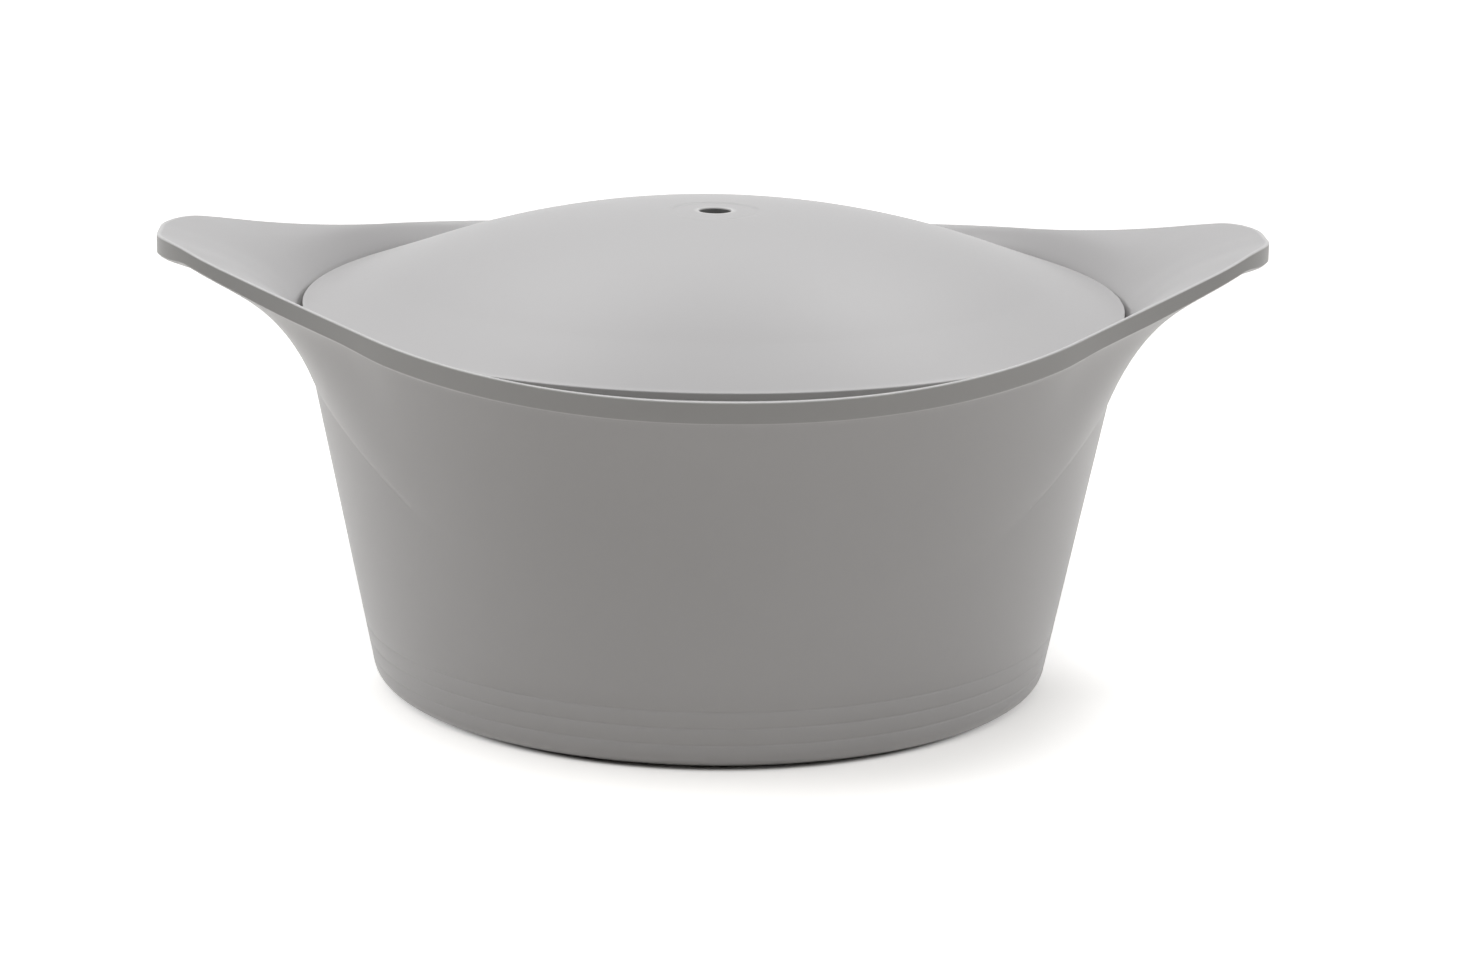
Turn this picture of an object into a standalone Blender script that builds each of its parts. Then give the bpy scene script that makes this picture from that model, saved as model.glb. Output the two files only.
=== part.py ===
"""Cast casserole pot with wing handles, its domed lid and the steel disc in its base.

Lengths are in metres and +Z is up. The origin is on the surface that the pot stands on, on the pot's
axis. The wings point along +X and -X, and the front of the pot faces -Y.
"""

import math

import bmesh
import bpy
from mathutils import Vector

# Gap left between pieces that touch
TOUCH_GAP = 0.0003

# Bowl: a cone with a rounded base, an even wall and a floor of its own thickness above the disc
MOUTH_RADIUS = 0.1225
WALL = 0.0040
WALL_SLOPE = 0.1986
FLOOR = 0.0040
BASE_CORNER_RADIUS = 0.0068
INNER_CORNER_RADIUS = 0.0100

# Induction disc, sunk into the underside and standing a little proud of it
DISC_MARGIN = 0.0102
DISC_SINK = 0.0012
DISC_PROUD = 0.0006
DISC_EDGE_CHAMFER = 0.0004

# Rim: its lowest points are at the front and the back
RIM_FRONT_HEIGHT = 0.1174
RIM_WIDTH = 0.0066
RIM_EDGE_CHAMFER = 0.0004

# Upright edge face of the rim: full at the front, narrower from the shoulder on, thinnest near the tip
RIM_EDGE_FRONT = 0.0063
RIM_EDGE_SHOULDER = 0.0053
RIM_EDGE_WING = 0.0042
RIM_EDGE_TIP = 0.0055
SHOULDER_INSET = 0.0288
SHOULDER_LENGTH = 0.0160

# Lid ledge, just inside the rim
LEDGE_DEPTH = 0.0035
LEDGE_WIDTH = 0.0047

# Wings, seen from above: a concave edge that leaves the round rim, and a blunt end with round corners
WING_LENGTH = 0.0360
WING_ROOT_AZIMUTH = math.radians(39.5)
WING_EDGE_RADIUS = 0.382
WING_CORNER_BLEND = 0.0223

# Wings, seen from the front: how the rim climbs to the tip and levels there
WING_RISE = 0.0238
WING_RISE_POWER = 2.37
TIP_LEVEL_LENGTH = 0.0107
TIP_LEVEL_DROP = 0.0028
TIP_THICKENING_LENGTH = 0.0072

# Flare from the cone out to the rim, which starts low at the front and high under the wings
FLARE_DEPTH_FRONT = 0.0710
FLARE_DEPTH_WING = 0.0196
FLARE_DEPTH_POWER = 3.0
FLARE_CREASE_WING = math.radians(9.2)
FLARE_END_TILT_FRONT = math.radians(24.0)
FLARE_END_TILT_WING = math.radians(70.5)
FLARE_TILT_POWER = 7.0
FLARE_START_REACH = 0.56
FLARE_END_REACH = 0.22
INNER_FLARE_BULGE = 0.20

# Lid
LID_SIDE_GAP = 0.0012
LID_BRIM_THICKNESS = 0.0040
LID_BRIM_WIDTH = 0.0042
LID_DOME_RISE = 0.0281
LID_DOME_WALL = 0.0035
LID_FOOT_FILLET = 0.0120
LID_EDGE_CHAMFER = 0.0005
LID_LIP_DEPTH = 0.0050
LID_LIP_THICKNESS = 0.0025
LID_LIP_PLAY = 0.0008
VENT_RADIUS = 0.0049
VENT_CHAMFER = 0.0003

# How finely round shapes are divided
POT_PROFILES = 96
TIP_CROWDING = 0.5
FLARE_STEPS = 8
INNER_FLARE_STEPS = 4
CORNER_STEPS = 4
LID_SIDES = 96
DISC_SIDES = 96
DOME_STEPS = 7
FILLET_STEPS = 3
SHARP_ANGLE = math.radians(25.0)
TANGENT_STEP = math.radians(0.05)
MERGE_DISTANCE = 1e-7

# Sizes that follow from those above
CONE_TILT = math.atan(WALL_SLOPE)
LEDGE_HEIGHT = RIM_FRONT_HEIGHT - LEDGE_DEPTH
LEDGE_RADIUS = MOUTH_RADIUS + LEDGE_WIDTH
RIM_RADIUS = LEDGE_RADIUS + RIM_WIDTH
WING_REACH = RIM_RADIUS + WING_LENGTH
SHOULDER_START = RIM_RADIUS - SHOULDER_INSET - 0.5 * SHOULDER_LENGTH
SHOULDER_END = SHOULDER_START + SHOULDER_LENGTH
TIP_START = WING_REACH - TIP_LEVEL_LENGTH
UNDERSIDE_HEIGHT = DISC_PROUD
DISC_THICKNESS = DISC_PROUD + DISC_SINK
RECESS_HEIGHT = DISC_THICKNESS + TOUCH_GAP
FLOOR_HEIGHT = RECESS_HEIGHT + FLOOR
LID_RADIUS = LEDGE_RADIUS - LID_SIDE_GAP
BRIM_BOTTOM = LEDGE_HEIGHT + TOUCH_GAP
BRIM_TOP = BRIM_BOTTOM + LID_BRIM_THICKNESS
DOME_FOOT_RADIUS = LID_RADIUS - LID_BRIM_WIDTH
DOME_RADIUS = (DOME_FOOT_RADIUS**2 + LID_DOME_RISE**2) / (2.0 * LID_DOME_RISE)
DOME_CENTRE_HEIGHT = BRIM_TOP + LID_DOME_RISE - DOME_RADIUS

# Finishes
COATING = (0.5, 0.495, 0.485, 1.0)
COATING_ROUGHNESS = 0.45
STEEL = (0.55, 0.55, 0.56, 1.0)
STEEL_ROUGHNESS = 0.35


def clear_scene():
    """Removes whatever the scene starts with."""
    for thing in list(bpy.data.objects):
        bpy.data.objects.remove(thing, do_unlink=True)


def make_material(name, colour, roughness, metallic):
    """A plain Principled material."""
    material = bpy.data.materials.new(name)
    material.use_nodes = True
    shader = material.node_tree.nodes["Principled BSDF"]
    shader.inputs["Base Color"].default_value = colour
    shader.inputs["Roughness"].default_value = roughness
    shader.inputs["Metallic"].default_value = metallic
    return material


def add_object(name, bm, material, parent):
    """Turns a finished bmesh into a shaded object under its parent."""
    bmesh.ops.recalc_face_normals(bm, faces=bm.faces)
    mesh = bpy.data.meshes.new(name)
    bm.to_mesh(mesh)
    bm.free()
    mesh.shade_smooth()
    mesh.set_sharp_from_angle(angle=SHARP_ANGLE)
    mesh.materials.append(material)
    piece = bpy.data.objects.new(name, mesh)
    piece.parent = parent
    bpy.context.collection.objects.link(piece)
    return piece


def smooth_step(value, start, end):
    """Runs from 0 at start to 1 at end with level ends."""
    share = min(max((value - start) / (end - start), 0.0), 1.0)
    return share * share * (3.0 - 2.0 * share)


def rounded_least(first, second, blend):
    """The smaller of two lengths, rounded off where they cross."""
    share = min(max(0.5 + 0.5 * (first - second) / blend, 0.0), 1.0)
    mixed = first * (1.0 - share) + second * share
    return mixed - blend * share * (1.0 - share)


def bezier(points, steps):
    """Points along a Bezier curve of any degree, both ends included."""
    found = []
    for step in range(steps + 1):
        share = step / steps
        level = list(points)
        while len(level) > 1:
            level = [a.lerp(b, share) for a, b in zip(level, level[1:])]
        found.append(level[0])
    return found


def arc(centre, radius, start, end, steps):
    """Points (r, z) along a circular arc, both ends included."""
    angles = [start + (end - start) * step / steps for step in range(steps + 1)]
    return [Vector((centre[0] + radius * math.cos(a), centre[1] + radius * math.sin(a))) for a in angles]


# The cone and the corners of the bowl


def inner_radius(height):
    """Radius of the bowl's inner cone at a height."""
    return MOUTH_RADIUS - WALL_SLOPE * (LEDGE_HEIGHT - height)


def outer_radius(height):
    """Radius of the bowl's outer cone at a height."""
    return inner_radius(height) + WALL / math.cos(CONE_TILT)


def flat_radius(cone_radius, floor_height, radius):
    """Radius of the level floor inside the rounded corner that joins it to a cone."""
    return cone_radius(floor_height + radius) - radius / math.cos(CONE_TILT)


def corner_arc(cone_radius, floor_height, radius):
    """Arc (r, z) that rounds the corner between a level floor and a cone, from the floor up."""
    centre = (flat_radius(cone_radius, floor_height, radius), floor_height + radius)
    return arc(centre, radius, -0.5 * math.pi, -CONE_TILT, CORNER_STEPS)


def recess_radius():
    """Radius of the recess in the underside that holds the induction disc."""
    return flat_radius(outer_radius, UNDERSIDE_HEIGHT, BASE_CORNER_RADIUS) - DISC_MARGIN


# The rim and its wings


def from_wing_axis(azimuth):
    """Angle in plan between an azimuth and the nearer wing's middle line."""
    return math.acos(min(abs(math.cos(azimuth)), 1.0))


def rim_radius(azimuth):
    """Plan distance from the axis to the rim's outer edge."""
    angle = from_wing_axis(azimuth)
    if angle >= WING_ROOT_AZIMUTH:
        return RIM_RADIUS
    to_end = WING_REACH / math.cos(angle)
    centre_distance = RIM_RADIUS + WING_EDGE_RADIUS
    turn = WING_ROOT_AZIMUTH - angle
    across = centre_distance * math.sin(turn)
    if across >= WING_EDGE_RADIUS:
        return to_end
    to_edge = centre_distance * math.cos(turn) - math.sqrt(WING_EDGE_RADIUS**2 - across**2)
    return rounded_least(to_end, to_edge, WING_CORNER_BLEND)


def rim_side(azimuth):
    """How far the rim's outer edge is from the plane through the front, the back and the axis."""
    return rim_radius(azimuth) * abs(math.cos(azimuth))


def rim_height(azimuth):
    """Height of the rim's top edge."""
    side = rim_side(azimuth)
    climb = WING_RISE * (side / WING_REACH) ** WING_RISE_POWER
    past_level = max(side - TIP_START, 0.0) / TIP_LEVEL_LENGTH
    return RIM_FRONT_HEIGHT + climb - TIP_LEVEL_DROP * past_level**2


def rim_edge_height(azimuth):
    """Height of the rim's upright edge face."""
    side = rim_side(azimuth)
    past_shoulder = smooth_step(side, SHOULDER_START, SHOULDER_END)
    along_wing = smooth_step(side, SHOULDER_END, TIP_START)
    into_tip = smooth_step(side, TIP_START, TIP_START + TIP_THICKENING_LENGTH)
    height = RIM_EDGE_FRONT + (RIM_EDGE_SHOULDER - RIM_EDGE_FRONT) * past_shoulder
    height += (RIM_EDGE_WING - RIM_EDGE_SHOULDER) * along_wing
    return height + (RIM_EDGE_TIP - RIM_EDGE_WING) * into_tip


def in_plan(azimuth, radius, height):
    """Point at an azimuth, a radius and a height."""
    return Vector((radius * math.cos(azimuth), radius * math.sin(azimuth), height))


def rim_inward(azimuth):
    """Unit vector in plan, square to the rim's outline and pointing inwards."""
    before = in_plan(azimuth - TANGENT_STEP, rim_radius(azimuth - TANGENT_STEP), 0.0)
    after = in_plan(azimuth + TANGENT_STEP, rim_radius(azimuth + TANGENT_STEP), 0.0)
    along = (after - before).normalized()
    return Vector((-along.y, along.x, 0.0))


def outer_flare(azimuth):
    """Points (r, z) of the flare, from the cone out to the rim's lower edge."""
    wing_share = abs(math.cos(azimuth)) ** FLARE_DEPTH_POWER
    depth = FLARE_DEPTH_FRONT + (FLARE_DEPTH_WING - FLARE_DEPTH_FRONT) * wing_share
    start_height = RIM_FRONT_HEIGHT - depth
    start = Vector((outer_radius(start_height), start_height))
    end = Vector((rim_radius(azimuth), rim_height(azimuth) - rim_edge_height(azimuth)))
    span = (end - start).length
    start_tilt = CONE_TILT + FLARE_CREASE_WING * wing_share
    tilt_share = abs(math.cos(azimuth)) ** FLARE_TILT_POWER
    end_tilt = FLARE_END_TILT_FRONT + (FLARE_END_TILT_WING - FLARE_END_TILT_FRONT) * tilt_share
    leave = start + FLARE_START_REACH * span * Vector((math.sin(start_tilt), math.cos(start_tilt)))
    arrive = end - FLARE_END_REACH * span * Vector((math.sin(end_tilt), math.cos(end_tilt)))
    return bezier([start, leave, arrive, end], FLARE_STEPS)


def inner_flare(azimuth, rim_point):
    """Points from the rim's inner edge down to the lid ledge."""
    foot = in_plan(azimuth, LEDGE_RADIUS, LEDGE_HEIGHT)
    bend = rim_point.lerp(foot, 0.5 + INNER_FLARE_BULGE)
    bend.z = foot.z + (rim_point.z - foot.z) * (0.5 + INNER_FLARE_BULGE)
    return bezier([rim_point, bend, foot], INNER_FLARE_STEPS)


def pot_profile(azimuth):
    """Points of the pot's wall at one azimuth, from under the base over the rim to the floor."""
    underside = [
        Vector((recess_radius(), RECESS_HEIGHT)),
        Vector((recess_radius(), UNDERSIDE_HEIGHT)),
    ]
    corner = corner_arc(outer_radius, UNDERSIDE_HEIGHT, BASE_CORNER_RADIUS)
    outside = underside + corner + outer_flare(azimuth)
    points = [in_plan(azimuth, radius, height) for radius, height in outside]
    top = rim_height(azimuth)
    points.append(in_plan(azimuth, rim_radius(azimuth), top - RIM_EDGE_CHAMFER))
    rim_point = in_plan(azimuth, rim_radius(azimuth), top) + RIM_EDGE_CHAMFER * rim_inward(azimuth)
    points.extend(inner_flare(azimuth, rim_point))
    points.append(in_plan(azimuth, MOUTH_RADIUS, LEDGE_HEIGHT))
    inner_corner = corner_arc(inner_radius, FLOOR_HEIGHT, INNER_CORNER_RADIUS)
    points.extend(in_plan(azimuth, radius, height) for radius, height in reversed(inner_corner))
    return points


def profile_azimuths():
    """Azimuths of the pot's profiles, closer together round the wing tips."""
    even = [2.0 * math.pi * step / POT_PROFILES for step in range(POT_PROFILES)]
    return [angle - 0.5 * TIP_CROWDING * math.sin(2.0 * angle) for angle in even]


def build_pot_body(material, parent):
    """Bowl, ledge, rim and both wings in one casting, lofted through its profiles."""
    bm = bmesh.new()
    columns = [[bm.verts.new(point) for point in pot_profile(angle)] for angle in profile_azimuths()]
    underside_centre = bm.verts.new((0.0, 0.0, RECESS_HEIGHT))
    floor_centre = bm.verts.new((0.0, 0.0, FLOOR_HEIGHT))
    for column, following in zip(columns, columns[1:] + columns[:1]):
        bm.faces.new((underside_centre, following[0], column[0]))
        bm.faces.new((floor_centre, column[-1], following[-1]))
        for row in range(len(column) - 1):
            bm.faces.new((column[row], following[row], following[row + 1], column[row + 1]))
    return add_object("pot_body", bm, material, parent)


# Turned pieces


def turned(name, outline, sides, material, parent):
    """Spins a closed outline of (r, z) points round the pot's axis."""
    bm = bmesh.new()
    verts = [bm.verts.new((radius, 0.0, height)) for radius, height in outline]
    edges = [bm.edges.new(pair) for pair in zip(verts, verts[1:] + verts[:1])]
    bmesh.ops.spin(
        bm,
        geom=verts + edges,
        cent=(0.0, 0.0, 0.0),
        axis=(0.0, 0.0, 1.0),
        angle=2.0 * math.pi,
        steps=sides,
        use_merge=True,
    )
    bmesh.ops.remove_doubles(bm, verts=bm.verts, dist=MERGE_DISTANCE)
    return add_object(name, bm, material, parent)


def dome_height(radius, inset):
    """Height of the dome's sphere, or of the one that lies inset inside it, at a radius."""
    return DOME_CENTRE_HEIGHT + math.sqrt((DOME_RADIUS - inset) ** 2 - radius**2)


def dome_points(from_radius, to_radius, inset):
    """Points (r, z) along the dome between two radii."""
    radii = [from_radius + (to_radius - from_radius) * step / DOME_STEPS for step in range(DOME_STEPS + 1)]
    return [Vector((radius, dome_height(radius, inset))) for radius in radii]


def foot_fillet():
    """Concave round (r, z) where the dome runs out into the level brim."""
    tilt = math.asin(DOME_FOOT_RADIUS / DOME_RADIUS)
    room = LID_BRIM_WIDTH - 2.0 * LID_EDGE_CHAMFER
    setback = min(LID_FOOT_FILLET * math.tan(0.5 * tilt), room)
    on_dome = DOME_FOOT_RADIUS - setback * math.cos(tilt)
    start = Vector((on_dome, dome_height(on_dome, 0.0)))
    foot = Vector((DOME_FOOT_RADIUS, BRIM_TOP))
    end = Vector((DOME_FOOT_RADIUS + setback, BRIM_TOP))
    return bezier([start, foot, end], FILLET_STEPS)


def lid_outline():
    """Closed outline (r, z) of the lid: over the dome, round the brim and back under it."""
    fillet = foot_fillet()
    dome = dome_points(VENT_RADIUS + VENT_CHAMFER, fillet[0].x, 0.0)
    edge = [
        Vector((LID_RADIUS - LID_EDGE_CHAMFER, BRIM_TOP)),
        Vector((LID_RADIUS, BRIM_TOP - LID_EDGE_CHAMFER)),
        Vector((LID_RADIUS, BRIM_BOTTOM)),
    ]
    lip_bottom = BRIM_BOTTOM - LID_LIP_DEPTH
    lip_outer = inner_radius(lip_bottom) - LID_LIP_PLAY
    lip_inner = lip_outer - LID_LIP_THICKNESS
    lip = [
        Vector((lip_outer, BRIM_BOTTOM)),
        Vector((lip_outer, lip_bottom)),
        Vector((lip_inner, lip_bottom)),
    ]
    hollow = dome_points(lip_inner, VENT_RADIUS, LID_DOME_WALL)
    vent_top = Vector((VENT_RADIUS, dome_height(VENT_RADIUS, 0.0) - VENT_CHAMFER))
    return dome[:-1] + fillet + edge + lip + hollow + [vent_top]


def disc_outline():
    """Closed outline (r, z) of the induction disc."""
    radius = recess_radius() - TOUCH_GAP
    return [
        Vector((0.0, DISC_THICKNESS)),
        Vector((radius, DISC_THICKNESS)),
        Vector((radius, DISC_EDGE_CHAMFER)),
        Vector((radius - DISC_EDGE_CHAMFER, 0.0)),
        Vector((0.0, 0.0)),
    ]


def add_empty(name, height):
    """Empty on the pot's axis that carries the pieces of one body."""
    empty = bpy.data.objects.new(name, None)
    empty.empty_display_size = MOUTH_RADIUS
    empty.location = (0.0, 0.0, height)
    bpy.context.collection.objects.link(empty)
    return empty


def keep_place(piece, parent_height):
    """Moves a piece's mesh down by its parent's height, so that its place in the world stays."""
    for vertex in piece.data.vertices:
        vertex.co.z -= parent_height


def main():
    """Builds the pot, its disc and its lid."""
    clear_scene()
    coating = make_material("warm_grey_coating", COATING, COATING_ROUGHNESS, 0.0)
    steel = make_material("ferritic_steel", STEEL, STEEL_ROUGHNESS, 1.0)
    pot = add_empty("pot", 0.0)
    lid_lift = add_empty("lid_lift", LEDGE_HEIGHT)
    build_pot_body(coating, pot)
    turned("induction_disc", disc_outline(), DISC_SIDES, steel, pot)
    lid = turned("lid", lid_outline(), LID_SIDES, coating, lid_lift)
    keep_place(lid, LEDGE_HEIGHT)


main()
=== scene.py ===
"""Casserole pot with wing handles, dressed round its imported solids.

The visible casting, lid and induction plate are swept from rows of points by geometry trees, wear
procedural finishes and stand in a plain white studio. Lengths are in metres, +Z is up, the wings
point along +X and -X, and the front of the pot faces -Y.
"""

import logging
import math
from dataclasses import dataclass, field, fields
from enum import Enum
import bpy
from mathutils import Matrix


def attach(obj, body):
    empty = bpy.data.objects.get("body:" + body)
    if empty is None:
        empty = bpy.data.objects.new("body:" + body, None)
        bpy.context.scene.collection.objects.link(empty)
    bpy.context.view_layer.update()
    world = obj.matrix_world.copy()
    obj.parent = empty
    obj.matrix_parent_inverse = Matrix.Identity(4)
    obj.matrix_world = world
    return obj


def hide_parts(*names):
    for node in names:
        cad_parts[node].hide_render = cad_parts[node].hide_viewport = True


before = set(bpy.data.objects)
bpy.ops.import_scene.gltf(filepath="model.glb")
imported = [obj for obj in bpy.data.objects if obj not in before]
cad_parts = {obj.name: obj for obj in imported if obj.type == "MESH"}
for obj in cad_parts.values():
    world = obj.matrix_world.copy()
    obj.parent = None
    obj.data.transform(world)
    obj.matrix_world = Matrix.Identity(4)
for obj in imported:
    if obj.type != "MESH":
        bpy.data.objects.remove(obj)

from types import SimpleNamespace
from typing import Callable, Iterable, Optional, Union

import bmesh
import bpy
from bpy.types import ID, Material, Mesh, Node, NodeSocket, NodeTree, Object
from mathutils import Matrix, Vector

LOG = logging.getLogger("casserole")
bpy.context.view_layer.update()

QUARTER_TURN = 0.5 * math.pi
WHITE = (1.0, 1.0, 1.0, 1.0)

Colour = tuple[float, float, float, float]
Point = tuple[float, float]
Number = Union["Field", float]
Pair = tuple["Field", "Field"]


# Numbers that node trees work out


def maths_method(operation: str, swapped: bool = False) -> Callable[..., "Field"]:
    """Makes a method of Field that adds one Math node.

    Args:
        operation: Blender's name for the operation.
        swapped: Whether the number itself comes last.

    Returns:
        The method.
    """

    def method(self: "Field", *others: Number) -> "Field":
        """Adds the node and gives its result."""
        values = (*others, self) if swapped else (self, *others)
        return first_output(self.tree, "ShaderNodeMath", {"operation": operation}, *values)

    return method


@dataclass(frozen=True)
class Field:
    """A number, or a vector of three, that a node tree works out at every point.

    Args:
        tree: The node tree that holds it.
        socket: The output socket that gives it.
    """

    tree: NodeTree
    socket: NodeSocket

    __add__, __radd__ = maths_method("ADD"), maths_method("ADD", swapped=True)
    __sub__, __rsub__ = maths_method("SUBTRACT"), maths_method("SUBTRACT", swapped=True)
    __mul__, __rmul__ = maths_method("MULTIPLY"), maths_method("MULTIPLY", swapped=True)
    __truediv__, __pow__ = maths_method("DIVIDE"), maths_method("POWER")
    __abs__, whole, root = maths_method("ABSOLUTE"), maths_method("FLOOR"), maths_method("SQRT")
    at_least, at_most = maths_method("MAXIMUM"), maths_method("MINIMUM")
    sine, cosine = maths_method("SINE"), maths_method("COSINE")
    angle_of_cosine = maths_method("ARCCOSINE")

    def within(self, low: float, high: float) -> "Field":
        """The number kept between two limits."""
        return self.at_least(low).at_most(high)


def feed(tree: NodeTree, slot: NodeSocket, value: object) -> None:
    """Gives an input socket a link or a plain value.

    Args:
        tree: The node tree that the socket is in.
        slot: The input socket.
        value: A Field, another socket to link from, or a plain value.
    """
    source = value.socket if isinstance(value, Field) else value
    if isinstance(source, NodeSocket):
        tree.links.new(source, slot)
    else:
        slot.default_value = source


def add_node(
    tree: NodeTree, kind: str, settings: Optional[dict] = None, *values: object, **inputs: object
) -> Node:
    """Adds a node, sets it up and feeds its inputs.

    Args:
        tree: The node tree that gets the node.
        kind: Blender's type name for the node.
        settings: Attributes of the node itself.
        values: Values or sockets for its first inputs, in order.
        inputs: Values or sockets for inputs by name, with underscores for spaces.

    Returns:
        The new node.
    """
    node = tree.nodes.new(kind)
    for name, value in (settings or {}).items():
        setattr(node, name, value)
    for slot, value in zip(node.inputs, values):
        feed(tree, slot, value)
    for name, value in inputs.items():
        feed(tree, node.inputs[name.replace("_", " ")], value)
    return node


def first_output(tree: NodeTree, kind: str, *setup: object, **inputs: object) -> Field:
    """Adds a node, with the same arguments as add_node, and gives what it puts out first."""
    return Field(tree, add_node(tree, kind, *setup, **inputs).outputs[0])


def parts_of(tree: NodeTree, vector: object) -> list[Field]:
    """The three numbers of a vector."""
    node = add_node(tree, "ShaderNodeSeparateXYZ", Vector=vector)
    return [Field(tree, part) for part in node.outputs]


def object_place(tree: NodeTree) -> NodeSocket:
    """Coordinates of a point of the surface, in its object's frame."""
    return tree.nodes.new("ShaderNodeTexCoord").outputs["Object"]


def distance(x: Field, y: Field) -> Field:
    """Length of a step that goes so far along two axes."""
    return (x * x + y * y).root()


def step_at(angle: Field, length: Field) -> Pair:
    """How far a step at an angle goes along the two axes."""
    return length * angle.cosine(), length * angle.sine()


def smooth_step(value: Field, start: Number, end: Number) -> Field:
    """Runs from 0 at start to 1 at end with level ends."""
    share = ((value - start) / (end - start)).within(0.0, 1.0)
    return share * share * (3.0 - 2.0 * share)


def blend(share: Number, first: Number, second: Number) -> Number:
    """Mixes two numbers: the first at share 0, the second at share 1."""
    return first + (second - first) * share


def bezier_point(share: Number, points: Iterable[Number]) -> Number:
    """One coordinate of a Bezier curve of any degree, by halving between its guide points.

    Args:
        share: How far along the curve, from 0 to 1.
        points: The coordinate of each guide point.

    Returns:
        The coordinate on the curve.
    """
    level = list(points)
    while len(level) > 1:
        level = [blend(share, a, b) for a, b in zip(level, level[1:])]
    return level[0]


# Rows that the geometry trees sweep round the axis. Their marks stay on the skin for its finish.

MARKS = ("edge", "bare")
# Levels of the painted shade mark: on the upright faces of the rim and the lid's brim, and deeper
# in the vent's bore.
UPRIGHT_SHADE, BORE_SHADE = 0.5, 1.0


class Zone(Enum):
    """How a row of the casting gets its place."""

    TURNED = 0
    CONE = 1
    CREASE = 2
    FLARE = 3
    LIP = 4
    BAND = 5
    EDGE = 6
    INNER_FLARE = 7


@dataclass(frozen=True)
class Row:
    """One ring of points.

    Args:
        radius: Distance from the axis, for a turned row.
        height: Height, for a turned row.
        edge: How exposed the row is to rubbing, and so how far its painted highlight shows, from 0
            to 1.
        zone: How the row gets its place.
        share: How far through its zone the row is, from 0 to 1.
        bare: How much painted shade the row has: UPRIGHT_SHADE on an upright face, BORE_SHADE in
            the vent's bore.
    """

    radius: float = 0.0
    height: float = 0.0
    edge: float = 0.0
    zone: Zone = Zone.TURNED
    share: float = 0.0
    bare: float = 0.0


def shares(steps: int) -> list[float]:
    """Evenly spaced shares from 0 to 1, with so many steps between them."""
    return [step / steps for step in range(steps + 1)]


def zone_rows(zone: Zone, steps: int, edge: float = 0.0) -> list[Row]:
    """Evenly spaced rows through one zone, after the row that the zone before ends with."""
    return [Row(edge=edge, zone=zone, share=share) for share in shares(steps)[1:]]


def arc_rows(
    centre: Point, radius: float, start: float, end: float, steps: int, edge: float = 0.0
) -> list[Row]:
    """Turned rows along a circular arc, both ends included.

    Args:
        centre: The arc's centre (radius, height).
        radius: The arc's own radius.
        start: Angle of its first row, from the outward direction.
        end: Angle of its last row.
        steps: Number of strips.
        edge: How exposed the rows are to rubbing, and so how far their painted highlight shows.

    Returns:
        The rows, in order.
    """
    found = []
    for share in shares(steps):
        angle = blend(share, start, end)
        place = (centre[0] + radius * math.cos(angle), centre[1] + radius * math.sin(angle))
        found.append(Row(*place, edge))
    return found


def line_rows(start: Point, end: Point, steps: int) -> list[Row]:
    """Turned rows along a straight line between two points, both included."""
    return [Row(*(blend(share, a, b) for a, b in zip(start, end))) for share in shares(steps)]


def level_rows(height: float, start: float, end: float, steps: int) -> list[Row]:
    """Turned rows at one height between two radii, both included."""
    return line_rows((start, height), (end, height), steps)


def rounded_edge(corner: Point, size: float, start: float, edge: float) -> list[Row]:
    """Rows round a convex quarter-circle edge of a turned piece.

    Args:
        corner: The sharp corner (radius, height) that the edge replaces.
        size: Radius of the rounding.
        start: Angle of the first row: 0 faces outwards, and the rows turn on by a quarter.
        edge: How exposed the edge is to rubbing, and so how far its painted highlight shows.

    Returns:
        The rows.
    """
    middle = start + 0.5 * QUARTER_TURN
    reach = size * math.sqrt(2.0)
    centre = (corner[0] - reach * math.cos(middle), corner[1] - reach * math.sin(middle))
    return arc_rows(centre, size, start, start + QUARTER_TURN, steps=4, edge=edge)


def in_scene(name: str, data: ID) -> Object:
    """Adds an object to the scene.

    Args:
        name: The object's name.
        data: Its mesh, lamp or camera.

    Returns:
        The object.
    """
    added = bpy.data.objects.new(name, data)
    bpy.context.collection.objects.link(added)
    return added


def strip_object(name: str, rows: list[Row]) -> Object:
    """A line of points that carries the rows' values for a geometry tree.

    Args:
        name: Name of the piece that the line turns into.
        rows: The rows, in order.

    Returns:
        The object, which isn't swept yet.
    """
    mesh = bpy.data.meshes.new(name)
    points = [(row.radius, 0.0, row.height) for row in rows]
    mesh.from_pydata(points, [(i, i + 1) for i in range(len(rows) - 1)], [])
    kept = [("zone", "INT", [row.zone.value for row in rows])]
    kept += [(mark, "FLOAT", [getattr(row, mark) for row in rows]) for mark in ("share", *MARKS)]
    for label, kind, values in kept:
        mesh.attributes.new(label, kind, "POINT").data.foreach_set("value", values)
    return in_scene(name, mesh)


# Geometry trees


def size_label(name: str) -> str:
    """Socket name for a size: its dataclass name in plain words."""
    return name.replace("_", " ").capitalize()


def size_names(sizes: Optional[object]) -> list[str]:
    """Names of the sizes that a dataclass holds, or none if there is no dataclass."""
    return [size.name for size in fields(sizes)] if sizes else []


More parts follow.
